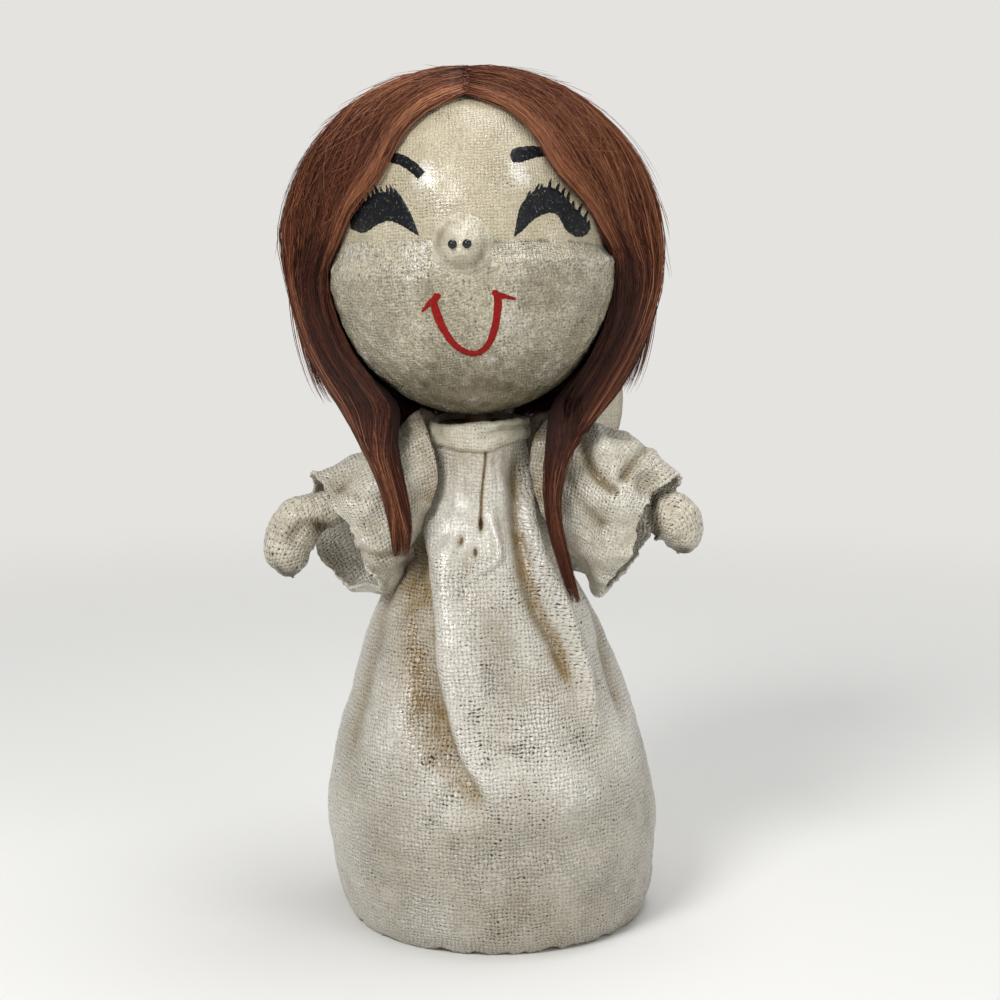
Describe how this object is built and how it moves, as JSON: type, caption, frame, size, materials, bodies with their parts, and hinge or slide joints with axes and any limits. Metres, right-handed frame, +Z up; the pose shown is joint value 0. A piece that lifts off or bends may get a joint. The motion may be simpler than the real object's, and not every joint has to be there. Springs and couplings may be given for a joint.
{
  "type": "angel figurine",
  "caption": "Standing angel doll of stiffened cloth: ball head with long parted hair that turns on a peg, flared gown, bell sleeves, mitten hands and small wings.",
  "frame": {"origin": "centre of the flat underside", "axes": "+Z up, the doll faces -Y, +X to the viewer's right"},
  "size_m": [0.1313, 0.1007, 0.2545],
  "materials": {
    "gown_cloth": "loose-weave cloth stiffened with plaster glue and varnished",
    "face_cloth": "gauze glued over the ball, varnished, with painted features",
    "hand_cloth": "coarse cloth wrapped and glued, worn at the tips",
    "hair": "long straight fibre hair",
    "pin_black": "gloss",
    "board": "plain board",
    "foam": "pressed foam",
    "peg_wood": "plain dowel",
    "wire": "bare wire"
  },
  "bodies": {
    "torso": {"base_disc": "board", "body_core": "foam", "neck_dowel": "peg_wood", "arm_wire": "wire", "collar_band": "gown_cloth", "dress": "gown_cloth", "sleeve_left": "gown_cloth", "sleeve_right": "gown_cloth", "hand_left": "hand_cloth", "hand_right": "hand_cloth", "wing_left": "gown_cloth", "wing_right": "gown_cloth"},
    "head": {"head_core": "foam", "face_cloth": "face_cloth", "cheek_pad": "face_cloth", "nose": "face_cloth", "nostril_pin_left": "pin_black", "nostril_pin_right": "pin_black", "hair_left": "hair", "hair_right": "hair", "hair_back": "hair"}
  },
  "joints": [
    {"name": "head_turn", "type": "hinge", "parent": "torso", "child": "head", "pos_m": [-0.00545, 0, 0.156], "axis": [-0.0349, 0, 0.9994], "range_deg": [-15, 15], "deforming": ["hair_left", "hair_right"]}
  ]
}
